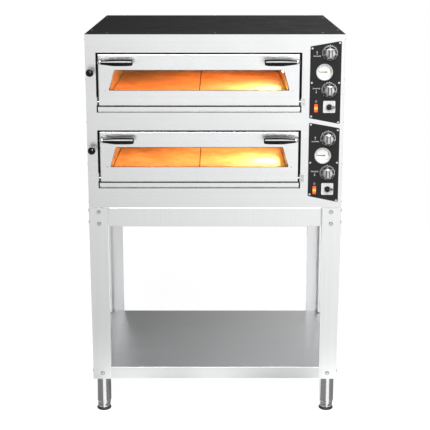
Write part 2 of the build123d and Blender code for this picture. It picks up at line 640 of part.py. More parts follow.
PAN_CORNER = 6
EDGE_SCREWS = (-366, -345.5, -185.6, 0, 185.6, 345.5, 366)
for deck, deck_z in DECKS.items():
    skin = DOOR_FACE + PANEL
    with BuildPart() as door_panel:
        block(DOOR_X, (DOOR_FACE, PIVOT_DEPTH + 12), (deck_z, deck_z + DOOR_HEIGHT))
        front_edges = door_panel.faces().sort_by(Axis.Y)[0].edges()
        fillet(front_edges, 3)
        block(
            (DOOR_X[0] + PANEL, DOOR_X[1] - PANEL),
            (skin, PIVOT_DEPTH + 13),
            (deck_z + PANEL, deck_z + DOOR_HEIGHT - PANEL),
            Mode.SUBTRACT,
        )
        with BuildSketch(front_plane(5, DOOR_MID + 1, deck_z)) as window:
            with BuildLine():
                Polyline(
                    (-WINDOW_HALF[0], WINDOW_Z[0]),
                    (WINDOW_HALF[0], WINDOW_Z[0]),
                    (WINDOW_HALF[1], WINDOW_Z[1]),
                    (-WINDOW_HALF[1], WINDOW_Z[1]),
                    close=True,
                )
            make_face()
            fillet(window.vertices(), 4)
        extrude(amount=10, mode=Mode.SUBTRACT)
        pivot_holes(deck_z)
    save(door_panel, f"door_panel_{deck}")

    pan_x = (DOOR_X[0] + PANEL + 0.2, DOOR_X[1] - PANEL - 0.2)
    pan_z = (deck_z + PANEL + 0.2, deck_z + DOOR_HEIGHT - PANEL - 0.2)
    glass_x, glass_z = (-430, 306), (deck_z + 46, deck_z + 152)
    sight_x, sight_z = (-424, 300), (deck_z + 50, deck_z + 148)
    with BuildPart() as door_inner:
        pan(pan_x, (skin, DOOR_BACK), pan_z)
        pan(
            (pan_x[0] + PANEL, pan_x[1] - PANEL),
            (skin - 1, DOOR_BACK - PANEL),
            (pan_z[0] + PANEL, pan_z[1] - PANEL),
            Mode.SUBTRACT,
        )
        edges = door_inner.faces().sort_by(Axis.Y)[-1].edges()
        fillet(edges, 2.5)
        block(sight_x, (DOOR_BACK - 3, DOOR_BACK + 1), sight_z, Mode.SUBTRACT)
        pivot_holes(deck_z)
        ring_x = (sight_x[0] - PANEL, sight_x[1] + PANEL)
        ring_z = (sight_z[0] - PANEL, sight_z[1] + PANEL)
        block(ring_x, (skin + 4, DOOR_BACK - PANEL - 4), ring_z)
        block(sight_x, (skin + 3, DOOR_BACK - PANEL - 3), sight_z, Mode.SUBTRACT)
    save(door_inner, f"door_inner_{deck}")

    with BuildPart() as door_glass:
        block(glass_x, (skin, skin + 4), glass_z)
        block(glass_x, (DOOR_BACK - PANEL - 4, DOOR_BACK - PANEL), glass_z)
    save(door_glass, f"door_glass_{deck}")

    grip_z = deck_z + GRIP_Z
    start = DOOR_MID - GRIP_OFFSET
    with BuildPart() as door_grips:
        with BuildSketch(front_plane(GRIP_DEPTH, 0, grip_z)):
            with BuildLine():
                Polyline(
                    (start, ARM_R),
                    (start, 8.2),
                    (start + 20, 10.6),
                    (start + 40, 13.0),
                    (start + 58, 14.0),
                    (start + GRIP_LENGTH, 14.0),
                    (start + GRIP_LENGTH, 0),
                    (start + GRIP_LENGTH - 22, 0),
                    (start + GRIP_LENGTH - 22, ARM_R),
                    close=True,
                )
            make_face()
        revolve(axis=Axis((0, y_at(GRIP_DEPTH), grip_z), (1, 0, 0)))
        fillet(door_grips.edges().filter_by(GeomType.CIRCLE).sort_by(Axis.X)[-1], 1.5)
        mirror(about=Plane(origin=(DOOR_MID, 0, 0), z_dir=(1, 0, 0)))
    save(door_grips, f"door_grips_{deck}")

    with BuildPart() as door_fittings:
        arm_x = start - 7
        with BuildLine() as arm_line:
            FilletPolyline(
                (arm_x, y_at(DOOR_FACE), grip_z),
                (arm_x, y_at(GRIP_DEPTH), grip_z),
                (start + GRIP_LENGTH - 24, y_at(GRIP_DEPTH), grip_z),
                radius=6.6,
            )
        with BuildSketch(front_plane(DOOR_FACE, arm_x, grip_z)):
            Circle(ARM_R)
        sweep()
        domed_head(8, 4, (arm_x, y_at(DOOR_FACE), grip_z), (0, -1, 0))
        for half, z in ((372, 184), (361.6, 59.5)):
            domed_head(3, 1.5, (DOOR_MID - half, y_at(DOOR_FACE), deck_z + z), (0, -1, 0))
        for x in EDGE_SCREWS:
            if x < 0:
                seat = (DOOR_MID + x, y_at(6))
                domed_head(3, 1.5, (*seat, deck_z + DOOR_HEIGHT), (0, 0, 1))
                domed_head(3, 1.5, (*seat, deck_z), (0, 0, -1))
        mirror(about=Plane(origin=(DOOR_MID, 0, 0), z_dir=(1, 0, 0)))
        domed_head(3, 1.5, (DOOR_MID, y_at(6), deck_z + DOOR_HEIGHT), (0, 0, 1))
        domed_head(3, 1.5, (DOOR_MID, y_at(6), deck_z), (0, 0, -1))
    save(door_fittings, f"door_fittings_{deck}")

    vent_z = deck_z + VENT_Z
    with BuildPart() as vent_knob:
        with Locations((VENT_X, y_at(BALL_DEPTH), vent_z)):
            Sphere(BALL_R)
        rod(7.5, (VENT_X, BALL_DEPTH + 10, vent_z), (VENT_X, BALL_DEPTH + 22, vent_z))
        rod(PIN_R, (VENT_X, BALL_DEPTH - 4, vent_z), (VENT_X, BALL_DEPTH + 24, vent_z), Mode.SUBTRACT)
    save(vent_knob, f"vent_knob_{deck}")

    with BuildPart() as vent_rod:
        rod(PIN_R, (VENT_X, BALL_DEPTH - 4, vent_z), (VENT_X, 708, vent_z))
        block((VENT_X - 3, -416), (700, 706), (vent_z - 6, vent_z + 6))
        block((-419, -416), (700, 760), (vent_z - 25, vent_z + 25))
    save(vent_rod, f"vent_rod_{deck}")

# ---------------------------------------------------------------- controls
for deck, (bottom, top) in PLATES.items():
    with BuildPart() as control_plate:
        with BuildSketch(front_plane(0)) as plate_outline:
            with BuildLine():
                Polyline(
                    (PLATE_X[0], bottom[0]),
                    (PLATE_X[1], bottom[1]),
                    (PLATE_X[1], top[1]),
                    (PLATE_X[0], top[0]),
                    close=True,
                )
            make_face()
            fillet(plate_outline.vertices(), 5)
        extrude(amount=PLATE_T)
        fillet(control_plate.faces().sort_by(Axis.Y)[0].edges(), 0.5)
        control_holes((-PLATE_T - 1, 1))
    save(control_plate, f"control_plate_{deck}")

with BuildPart() as control_screws:
    for deck in PLATES:
        for x, z in plate_screws(deck):
            domed_head(4.6, 2.4, (x, y_at(-PLATE_T), z), (0, -1, 0))
            rod(1.9, (x, -PLATE_T, z), (x, 6, z))
save(control_screws, "control_screws")

with BuildPart() as thermostat_bodies:
    for heights in CONTROLS.values():
        for z in (heights["top"], heights["bottom"]):
            block((KNOB_X - 21, KNOB_X + 21), (12, 48), (z - 18, z + 18))
            rod(7, (KNOB_X, PANEL, z), (KNOB_X, 12, z))
            rod(SHAFT_R + RUNNING, (KNOB_X, 0, z), (KNOB_X, 34, z), Mode.SUBTRACT)
save(thermostat_bodies, "thermostat_bodies")

for deck, heights in CONTROLS.items():
    for place in ("top", "bottom"):
        with BuildPart() as knob:
            z = heights[place]
            turned(
                [
                    (0, 30),
                    (SHAFT_R, 30),
                    (SHAFT_R, -3),
                    (25.5, -3),
                    (26.5, -4),
                    (26.5, -9),
                    (24.5, -12),
                    (20.5, -13),
                    (19.4, -20),
                    (17.5, -22),
                    (0, -22),
                ],
                KNOB_X,
                z,
            )
            block((KNOB_X - 7, KNOB_X + 7), (-32, -14), (z - 15.5, z + 15.5))
            ridge = knob.faces().sort_by(Axis.Y)[0].edges()
            fillet(ridge, 2.5)
        save(knob, f"thermostat_knob_{deck}_{place}")

with BuildPart() as gauge_cases:
    for heights in CONTROLS.values():
        turned(
            [
                (1 + RUNNING, 0),
                (29.5, 0),
                (29.5, -7),
                (30.5, -8),
                (32, -8),
                (GAUGE_R, -6.5),
                (GAUGE_R, -PLATE_T),
                (30.5, -PLATE_T),
                (30.5, 18),
                (0, 18),
                (0, 7),
                (1 + RUNNING, 7),
            ],
            GAUGE_X,
            heights["gauge"],
        )
save(gauge_cases, "gauge_cases")

with BuildPart() as gauge_lenses:
    for heights in CONTROLS.values():
        rod(29.4, (GAUGE_X, -4, heights["gauge"]), (GAUGE_X, -5.5, heights["gauge"]))
save(gauge_lenses, "gauge_lenses")

for deck, heights in CONTROLS.items():
    with BuildPart() as needle:
        z = heights["gauge"]
        rod(1, (GAUGE_X, -2.4, z), (GAUGE_X, 6, z))
        rod(3.4, (GAUGE_X, -2.6, z), (GAUGE_X, -1.2, z))
        with BuildSketch(front_plane(-1.4, GAUGE_X, z)):
            with BuildLine():
                Polyline(
                    (-24, 0),
                    (-20, 0.9),
                    (0, 1.3),
                    (10, 2.4),
                    (10, -2.4),
                    (0, -1.3),
                    (-20, -0.9),
                    close=True,
                )
            make_face()
        extrude(amount=0.8)
    save(needle, f"gauge_needle_{deck}")

with BuildPart() as cam_switches:
    half = SWITCH_SIDE / 2
    for heights in CONTROLS.values():
        z = heights["switch"]
        with BuildSketch(front_plane(-PLATE_T, SWITCH_X, z)):
            RectangleRounded(SWITCH_SIDE, SWITCH_SIDE, 4)
        extrude(amount=2.5)
        rod(10.5, (SWITCH_X, -PLATE_T, z), (SWITCH_X, PANEL, z))
        block((SWITCH_X - 17, SWITCH_X + 17), (PANEL, 44), (z - 17, z + 17))
        rod(SHAFT_R + RUNNING, (SWITCH_X, -6, z), (SWITCH_X, 22, z), Mode.SUBTRACT)
save(cam_switches, "cam_switches")

for deck, heights in CONTROLS.items():
    with BuildPart() as switch_handle:
        z = heights["switch"]
        rod(SHAFT_R, (SWITCH_X, -6, z), (SWITCH_X, 20, z))
        rod(12.5, (SWITCH_X, -5, z), (SWITCH_X, -14, z))
        block((SWITCH_X - 9, SWITCH_X + 21), (-20, -6), (z - 4, z + 4))
        fillet(switch_handle.edges().filter_by(Axis.Y).sort_by(Axis.X)[-2:], 3)
    save(switch_handle, f"switch_handle_{deck}")

with BuildPart() as pilot_lamps:
    for heights in CONTROLS.values():
        z, half_w, half_h = heights["lamp"], PILOT[0] / 2, PILOT[1] / 2
        block((LAMP_X - half_w, LAMP_X + half_w), (-PLATE_T, 24), (z - half_h, z + half_h))
        block((LAMP_X - half_w - 1, LAMP_X + half_w + 1), (-5, -PLATE_T), (z - half_h - 1, z + half_h + 1))
    fillet(pilot_lamps.faces().filter_by(Axis.Y).sort_by(Axis.Y)[:2].edges(), 1)
save(pilot_lamps, "pilot_lamps")
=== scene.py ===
import math

import bmesh
import bpy
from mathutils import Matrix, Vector


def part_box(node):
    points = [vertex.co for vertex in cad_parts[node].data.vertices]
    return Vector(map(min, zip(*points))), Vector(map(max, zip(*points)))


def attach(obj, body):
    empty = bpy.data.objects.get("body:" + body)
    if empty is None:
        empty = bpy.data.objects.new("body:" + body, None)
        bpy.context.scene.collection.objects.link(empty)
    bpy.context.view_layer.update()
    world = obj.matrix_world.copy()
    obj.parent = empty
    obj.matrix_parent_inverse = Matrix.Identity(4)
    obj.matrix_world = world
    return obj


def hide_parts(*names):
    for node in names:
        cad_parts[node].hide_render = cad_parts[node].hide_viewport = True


# Looks of the twin-deck pizza oven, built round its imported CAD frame. Everything is in metres:
# X is to the right, the front faces -Y, Z is up. Places come from the boxes of the CAD nodes.
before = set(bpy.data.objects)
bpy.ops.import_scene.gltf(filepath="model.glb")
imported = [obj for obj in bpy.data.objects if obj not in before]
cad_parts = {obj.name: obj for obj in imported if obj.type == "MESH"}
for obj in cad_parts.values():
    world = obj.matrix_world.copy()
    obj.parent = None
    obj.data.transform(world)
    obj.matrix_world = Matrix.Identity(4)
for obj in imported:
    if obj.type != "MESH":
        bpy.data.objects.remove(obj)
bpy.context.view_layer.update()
MM = 0.001
DECKS = ("upper", "lower")
PLACES = ("top", "bottom")
ROOT = "stand_and_casing"
EPS = 0.1 * MM  # half the thickness of a print, and how far a print line stands out


# ---------------------------------------------------------------- node helpers
def principled(name, colour, rough, metal=0.0, **sockets):
    """A new material with a Principled shader; sockets are its inputs by name, _ for a space."""
    mat = bpy.data.materials.new("look_" + name)
    mat.use_nodes = True
    shader = mat.node_tree.nodes["Principled BSDF"]
    shader.inputs["Base Color"].default_value = (*colour, 1.0)
    shader.inputs["Roughness"].default_value = rough
    shader.inputs["Metallic"].default_value = metal
    for key, value in sockets.items():
        shader.inputs[key.replace("_", " ")].default_value = value
    return mat, mat.node_tree, shader


def node(tree, kind, **settings):
    """A new shader node with its settings."""
    made = tree.nodes.new("ShaderNode" + kind)
    for key, value in settings.items():
        setattr(made, key, value)
    return made


def noise(tree, stretch, detail=4.0, rough=0.6):
    """Noise in the object's own metres, stretch being the number of features per metre on each axis."""
    where = node(tree, "TexCoord")
    spread = node(tree, "Mapping")
    spread.inputs["Scale"].default_value = stretch
    made = node(tree, "TexNoise")
    made.inputs["Scale"].default_value = 1.0
    made.inputs["Detail"].default_value = detail
    made.inputs["Roughness"].default_value = rough
    tree.links.new(where.outputs["Object"], spread.inputs["Vector"])
    tree.links.new(spread.outputs["Vector"], made.inputs["Vector"])
    return made.outputs["Fac"]


def remap(tree, source, low, high, start=0.3, end=0.7):
    """The part of source between start and end, stretched from low to high."""
    made = node(tree, "MapRange")
    for key, value in (("From Min", start), ("From Max", end), ("To Min", low), ("To Max", high)):
        made.inputs[key].default_value = value
    tree.links.new(source, made.inputs["Value"])
    return made.outputs["Result"]


def tint(tree, source, stops):
    """A colour ramp: stops are (place, colour)."""
    made = node(tree, "ValToRGB")
    ramp = made.color_ramp
    while len(ramp.elements) < len(stops):
        ramp.elements.new(0.5)
    for element, (place, colour) in zip(ramp.elements, stops):
        element.position = place
        element.color = (*colour, 1.0)
    tree.links.new(source, made.inputs["Fac"])
    return made.outputs["Color"]


def bump(tree, shader, source, depth, strength=1.0):
    """Adds source as relief of a depth in metres, on top of what the shader's normal already has."""
    made = node(tree, "Bump")
    made.inputs["Distance"].default_value = depth
    made.inputs["Strength"].default_value = strength
    tree.links.new(source, made.inputs["Height"])
    previous = shader.inputs["Normal"].links
    if previous:
        tree.links.new(previous[0].from_socket, made.inputs["Normal"])
    tree.links.new(made.outputs["Normal"], shader.inputs["Normal"])


def mottle(tree, shader, colour, spread, source):
    """Base colour that wanders by the part spread either side of colour."""
    dark = tuple(c * (1 - spread) for c in colour)
    light = tuple(min(1.0, c * (1 + spread)) for c in colour)
    tree.links.new(tint(tree, source, ((0.3, dark), (0.7, light))), shader.inputs["Base Color"])


# ---------------------------------------------------------------- materials
def speckled(name, colour, rough, spread, grain, detail=3.0, **sockets):
    """A plain matt colour with a fine speckle."""
    mat, tree, shader = principled(name, colour, rough, **sockets)
    mottle(tree, shader, colour, spread, noise(tree, (grain,) * 3, detail))
    return mat


def brushed(name, colour, rough, grain, wear=0.018, depth=0.00002):
    """Brushed stainless: fine scratches along one axis, faint streaks and hand marks."""
    mat, tree, shader = principled(name, colour, rough, 1.0)
    scratches = noise(tree, grain, 3.0, 0.7)
    streaks = noise(tree, tuple(g * 0.12 for g in grain), 2.0)
    marks = noise(tree, (7, 7, 7), 5.0, 0.65)
    mottle(tree, shader, colour, wear, streaks)
    blend = node(tree, "Math", operation="ADD")
    tree.links.new(remap(tree, scratches, rough - 0.04, rough + 0.05), blend.inputs[0])
    tree.links.new(remap(tree, marks, -0.02, 0.04), blend.inputs[1])
    tree.links.new(blend.outputs[0], shader.inputs["Roughness"])
    bump(tree, shader, scratches, depth, 0.25)
    bump(tree, shader, noise(tree, (2.2, 2.2, 2.2), 1.0), 0.0006, 0.08)
    return mat


def coated(name, colour, rough, grain=900.0, depth=0.00004, spread=0.15, **sockets):
    """Paint, enamel or moulded plastic: fine orange peel with patches of dust and handling."""
    mat, tree, shader = principled(name, colour, rough, 0.0, **sockets)
    peel = noise(tree, (grain,) * 3, 2.0)
    patches = noise(tree, (9, 9, 9), 6.0, 0.7)
    mottle(tree, shader, colour, spread, patches)
    tree.links.new(remap(tree, patches, rough - 0.05, rough + 0.09), shader.inputs["Roughness"])
    bump(tree, shader, peel, depth, 0.5)
    return mat


def polished(name, colour, rough):
    """Chrome and plated screws: faint swirl marks and water spots."""
    mat, tree, shader = principled(name, colour, rough, 1.0)
    swirl = noise(tree, (420, 420, 420), 4.0, 0.7)
    spots = noise(tree, (60, 60, 60), 3.0)
    mottle(tree, shader, colour, 0.03, spots)
    tree.links.new(remap(tree, swirl, rough * 0.7, rough * 1.5), shader.inputs["Roughness"])
    bump(tree, shader, swirl, 0.000008, 0.1)
    return mat


def galvanised(name):
    """Zinc-coated sheet with its spangle."""
    colour = (0.52, 0.54, 0.56)
    mat, tree, shader = principled(name, colour, 0.42, 1.0)
    where = node(tree, "TexCoord")
    cells = node(tree, "TexVoronoi")
    cells.inputs["Scale"].default_value = 75.0
    tree.links.new(where.outputs["Object"], cells.inputs["Vector"])
    grey = node(tree, "RGBToBW")
    tree.links.new(cells.outputs["Color"], grey.inputs["Color"])
    mottle(tree, shader, colour, 0.16, grey.outputs["Val"])
    tree.links.new(remap(tree, grey.outputs["Val"], 0.32, 0.52, 0.0, 1.0), shader.inputs["Roughness"])
    bump(tree, shader, grey.outputs["Val"], 0.00004, 0.3)
    return mat


def firebrick(name):
    """Pale hearth stone: open grain, soot and flour stains."""
    mat, tree, shader = principled(name, (0.62, 0.52, 0.38), 0.9)
    stains = noise(tree, (11, 11, 11), 6.0, 0.7)
    grit = noise(tree, (520, 520, 520), 3.0)
    colour = tint(
        tree,
        stains,
        ((0.32, (0.46, 0.35, 0.22)), (0.5, (0.62, 0.51, 0.34)), (0.68, (0.72, 0.62, 0.44))),
    )
    tree.links.new(colour, shader.inputs["Base Color"])
    bump(tree, shader, grit, 0.0004, 0.8)
    bump(tree, shader, stains, 0.0008, 0.3)
    return mat


def glowing(name):
    """Hot element sheath: dull red-orange, brighter in patches."""
    mat, tree, shader = principled(name, (0.25, 0.08, 0.03), 0.6, 0.0, Emission_Strength=1.2)
    heat = noise(tree, (14, 14, 14), 2.0)
    tree.links.new(
        tint(tree, heat, ((0.35, (0.85, 0.16, 0.03)), (0.65, (1.0, 0.36, 0.08)))),
        shader.inputs["Emission Color"],
    )
    return mat


def warm_steel(name):
    """Chamber liner: heat-tinted steel, straw to brown, with baked-on smoke."""
    colour = (0.60, 0.47, 0.34)
    mat, tree, shader = principled(name, colour, 0.5, 0.55)
    smoke = noise(tree, (6, 6, 9), 6.0, 0.72)
    grain = noise(tree, (30, 700, 700), 3.0)
    stops = ((0.3, (0.34, 0.22, 0.13)), (0.5, (0.60, 0.46, 0.31)), (0.72, (0.74, 0.62, 0.46)))
    tree.links.new(tint(tree, smoke, stops), shader.inputs["Base Color"])
    tree.links.new(remap(tree, smoke, 0.38, 0.62), shader.inputs["Roughness"])
    bump(tree, shader, grain, 0.00005, 0.4)
    return mat


def blanket(name, colour):
    """Mineral fibre: loose matted strands."""
    mat, tree, shader = principled(name, colour, 0.95, 0.0, Sheen_Weight=0.3)
    strands = noise(tree, (260, 900, 900), 5.0, 0.75)
    mottle(tree, shader, colour, 0.25, strands)
    bump(tree, shader, strands, 0.0006, 0.9)
    return mat


def pane(name, colour, alpha, rough=0.06, coat=1.0, gloss=0.5):
    """Tempered glass, with a faint haze of grease that thickens in patches."""
    mat, tree, shader = principled(
        name, colour, rough, 0.0, Coat_Weight=coat, Coat_Roughness=0.03, Specular_IOR_Level=gloss
    )
    haze = noise(tree, (13, 13, 13), 5.0, 0.7)
    tree.links.new(remap(tree, haze, alpha, alpha * 1.5), shader.inputs["Alpha"])
    tree.links.new(remap(tree, haze, rough, rough * 2.5), shader.inputs["Roughness"])
    return mat


def lamp_lens(name, low, tall, pitch):
    """Lit amber lenses, one above the other by pitch: yellow in the middle, orange-red at both ends.
    The lowest starts at the height low, and each is as high as tall."""
    mat, tree, shader = principled(name, (0.45, 0.07, 0.01), 0.3, 0.0, Emission_Strength=0.9)
    where = node(tree, "TexCoord")
    split = node(tree, "SeparateXYZ")
    tree.links.new(where.outputs["Object"], split.inputs["Vector"])
    fold = node(tree, "Math", operation="WRAP")
    tree.links.new(split.outputs["Z"], fold.inputs[0])
    fold.inputs[1].default_value, fold.inputs[2].default_value = low + pitch, low
    height = remap(tree, fold.outputs[0], 0.0, 1.0, low, low + tall)
    hot = ((0.06, (0.75, 0.03, 0.002)), (0.3, (1.0, 0.20, 0.01)), (0.5, (1.0, 0.85, 0.18)))
    cool = ((0.7, (1.0, 0.20, 0.01)), (0.94, (0.75, 0.03, 0.002)))
    tree.links.new(tint(tree, height, hot + cool), shader.inputs["Emission Color"])
    ribs = node(tree, "TexWave", bands_direction="Z")
    ribs.inputs["Scale"].default_value = 160.0
    tree.links.new(where.outputs["Object"], ribs.inputs["Vector"])
    bump(tree, shader, ribs.outputs["Fac"], 0.0003, 0.5)
    return mat


LENS_HEIGHT = 32 * MM  # one pilot lamp


def make_looks():
    """One material for each of the record's slots."""
    steel = (0.86, 0.865, 0.87)
    low, high = (corner.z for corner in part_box("pilot_lamps"))
    pitch = high - low - LENS_HEIGHT
    return {
        "brushed_panel": brushed("brushed_panel", steel, 0.30, (9, 9, 1100)),
        "stand_steel": brushed("stand_steel", (0.91, 0.915, 0.92), 0.32, (900, 900, 9)),
        "shelf_steel": brushed("shelf_steel", (0.82, 0.825, 0.83), 0.38, (9, 700, 900)),
        "door_steel": brushed("door_steel", (0.87, 0.875, 0.88), 0.27, (9, 9, 1300)),
        "black_cover": coated("black_cover", (0.009, 0.009, 0.010), 0.58, 700, Specular_IOR_Level=0.14),
        "dark_enamel": coated("dark_enamel", (0.035, 0.033, 0.032), 0.42, 500),
        "chamber_steel": warm_steel("chamber_steel"),
        "stone": firebrick("stone"),
        "element_alloy": glowing("element_alloy"),
        "fibre_blanket": blanket("fibre_blanket", (0.80, 0.76, 0.66)),
        "window_glass": pane("window_glass", (0.02, 0.018, 0.015), 0.05, 0.06, 0.12, 0.15),
        "gasket_fibre": blanket("gasket_fibre", (0.20, 0.19, 0.18)),
        "chrome": polished("chrome", (0.74, 0.74, 0.75), 0.10),
        "bolt_steel": polished("bolt_steel", (0.62, 0.62, 0.62), 0.12),
        "black_grip": coated(
            "black_grip", (0.004, 0.004, 0.0045), 0.11, 500, 0.00001, 0.2, Specular_IOR_Level=0.2
        ),
        "control_black": coated(
            "control_black", (0.010, 0.010, 0.011), 0.42, 1100, 0.00003, Specular_IOR_Level=0.3
        ),
        "knob_body": brushed("knob_body", (0.60, 0.60, 0.61), 0.32, (1500, 60, 60), 0.10),
        "gauge_metal": polished("gauge_metal", (0.70, 0.70, 0.71), 0.2),
        "lens_glass": pane("lens_glass", (0.9, 0.93, 0.95), 0.03, 0.03, 0.3, 0.3),
        "needle_black": coated("needle_black", (0.006, 0.006, 0.006), 0.5, Specular_IOR_Level=0.1),
        "amber_lens": lamp_lens("amber_lens", low, LENS_HEIGHT, pitch),
        "switch_white": coated("switch_white", (0.72, 0.72, 0.71), 0.32, 800, 0.00003, 0.04),
        "switch_grey": coated("switch_grey", (0.009, 0.009, 0.010), 0.36, 900, Specular_IOR_Level=0.25),
        "galvanised": galvanised("galvanised"),
        "gland_black": coated("gland_black", (0.02, 0.02, 0.021), 0.5, 700),
        "lamp_glass": coated(
            "lamp_glass", (0.95, 0.85, 0.66), 0.3, 300,
            Emission_Color=(1.0, 0.78, 0.46, 1), Emission_Strength=7.0,
        ),
    }


looks = make_looks()
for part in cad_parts.values():
    for seat in part.material_slots:
        if seat.material and seat.material.name in looks:
            seat.material = looks[seat.material.name]


# ---------------------------------------------------------------- mesh helpers
WELD = 1e-6  # points closer than this are joined
BEVEL_FROM, CREASE_FROM = 35, 38  # degrees between two faces


def to_object(mesh, name, finish):
    """Turns a bmesh into an object of the scene with one material."""
    data = bpy.data.meshes.new(name)
    mesh.to_mesh(data)
    mesh.free()
    data.materials.append(finish)
    made = bpy.data.objects.new(name, data)
    bpy.context.scene.collection.objects.link(made)
    return made


def finish_piece(mesh, name, body, slot, finish=None, smooth=True, bevel=0.0, replaces=()):
    """Turns a bmesh into a piece that rides on a body; finish takes the place of the slot's look."""
    bmesh.ops.remove_doubles(mesh, verts=mesh.verts, dist=WELD)
    bmesh.ops.recalc_face_normals(mesh, faces=mesh.faces)
    piece = to_object(mesh, name, finish or looks[slot])
    if bevel:
        cut = piece.modifiers.new("edges", "BEVEL")
        cut.width, cut.segments, cut.limit_method = bevel, 2, "ANGLE"
        cut.angle_limit = math.radians(BEVEL_FROM)
    if smooth:
        piece.data.shade_smooth()
        by_angle(piece)
    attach(piece, body)
    if replaces:
        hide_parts(*replaces)
    return piece


def by_angle(piece):
    """Marks the sharper edges, so that flats stay flat on a smooth piece."""
    mesh = bmesh.new()
    mesh.from_mesh(piece.data)
    for edge in mesh.edges:
        if len(edge.link_faces) == 2:
            edge.smooth = edge.calc_face_angle(0.0) < math.radians(CREASE_FROM)
    mesh.to_mesh(piece.data)
    mesh.free()


def lathe(mesh, outline, place, axis="-Y", steps=64, radius_at=None):
    """Revolves (radius, reach) points about the axis through place; radius_at may alter a radius by
    the point's index and angle."""
    turn = {
        "-Y": lambda a, r, h: Vector((r * math.cos(a), -h, r * math.sin(a))),
        "Z": lambda a, r, h: Vector((r * math.cos(a), r * math.sin(a), h)),
        "X": lambda a, r, h: Vector((h, r * math.cos(a), r * math.sin(a))),
    }[axis]
    rings = []
    for index, (radius, reach) in enumerate(outline):
        if radius == 0:
            rings.append([mesh.verts.new(place + turn(0, 0, reach))])
            continue
        ring = []
        for step in range(steps):
            angle = 2 * math.pi * step / steps
            r = radius_at(index, radius, angle) if radius_at else radius
            ring.append(mesh.verts.new(place + turn(angle, r, reach)))
        rings.append(ring)
    for low, high in zip(rings, rings[1:]):
        for step in range(steps):
            near, far = step, (step + 1) % steps
            if len(low) == 1 and len(high) == 1:
                continue
            if len(low) == 1:
                mesh.faces.new((low[0], high[near], high[far]))
            elif len(high) == 1:
                mesh.faces.new((low[near], low[far], high[0]))
            else:
                mesh.faces.new((low[near], low[far], high[far], high[near]))


def slab(mesh, points, front, back):
    """A flat plate with an outline of (x, z) points, between two Y values."""
    near = [mesh.verts.new((x, front, z)) for x, z in points]
    far = [mesh.verts.new((x, back, z)) for x, z in points]
    mesh.faces.new(near)
    mesh.faces.new(list(reversed(far)))
    for i in range(len(points)):
        j = (i + 1) % len(points)
        mesh.faces.new((near[i], far[i], far[j], near[j]))


def rectangle(left, right, low, high):
    """The four corners, in order."""
    return (left, low), (right, low), (right, high), (left, high)


def band(mesh, outer, inner, front, back, closed):
    """A flat band on the XZ plane between two rows of (x, z) points."""
    rows = [[mesh.verts.new((x, y, z)) for x, z in line] for line in (outer, inner) for y in (front, back)]
    outer_front, outer_back, inner_front, inner_back = rows
    count = len(outer)
    for i in range(count if closed else count - 1):
        j = (i + 1) % count
        mesh.faces.new((outer_front[i], outer_front[j], inner_front[j], inner_front[i]))
        mesh.faces.new((outer_back[i], inner_back[i], inner_back[j], outer_back[j]))
        mesh.faces.new((outer_front[i], outer_back[i], outer_back[j], outer_front[j]))
        mesh.faces.new((inner_front[i], inner_front[j], inner_back[j], inner_back[i]))
    if not closed:
        for i in (0, -1):
            mesh.faces.new((outer_front[i], inner_front[i], inner_back[i], outer_back[i]))


def arc_band(mesh, centre, radius, width, start, end, front, back, steps=48):
    """A curved band on the XZ plane, from start to end in degrees, anticlockwise from +X."""
    whole = abs(end - start) >= 360
    spots = [math.radians(start + (end - start) * i / steps) for i in range(steps + (0 if whole else 1))]
    outer, inner = (
        [(centre[0] + r * math.cos(a), centre[1] + r * math.sin(a)) for a in spots]
        for r in (radius + width / 2, radius - width / 2)
    )
    band(mesh, outer, inner, front, back, whole)


def radial_bar(mesh, centre, angle, inner, outer, width, front, back):
    """A tick between two radii at an angle in degrees."""
    along = Vector((math.cos(math.radians(angle)), math.sin(math.radians(angle))))
    across = Vector((-along.y, along.x)) * width / 2
    middle = Vector(centre)
    spots = [middle + along * inner - across, middle + along * outer - across]
    spots += [middle + along * outer + across, middle + along * inner + across]
    slab(mesh, [(p.x, p.y) for p in spots], front, back)


def middle_of(name):
    """The middle of a CAD node's box."""
    lo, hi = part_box(name)
    return (lo + hi) / 2


# ---------------------------------------------------------------- prints on the control plates
prints = speckled("panel_print", (0.62, 0.62, 0.62), 0.5, 0.12, 700)
DIAL_START, DIAL_TURN = -45, 270  # degrees; thermostat and thermometer scales alike


def scale_ring(name, centre, face):
    """Printed ring and temperature ticks round a thermostat knob."""
    mesh = bmesh.new()
    front, back = face - EPS, face + EPS
    arc_band(mesh, centre, 28.3 * MM, 1.5 * MM, -20, 200, front, back)
    arc_band(mesh, centre, 28.3 * MM, 0.5 * MM, 200, 340, front, back)
    ticks = 27
    for step in range(ticks + 1):
        angle = DIAL_START + DIAL_TURN * step / ticks
        long = step % 3 == 0
        reach = (31.8 if long else 30.7) * MM
        radial_bar(mesh, centre, angle, 29.0 * MM, reach, (0.7 if long else 0.45) * MM, front, back)
    radial_bar(mesh, centre, 90, 27.6 * MM, 33.0 * MM, 1.8 * MM, front, back)
    return finish_piece(mesh, name, ROOT, "knob_body", prints, smooth=False)


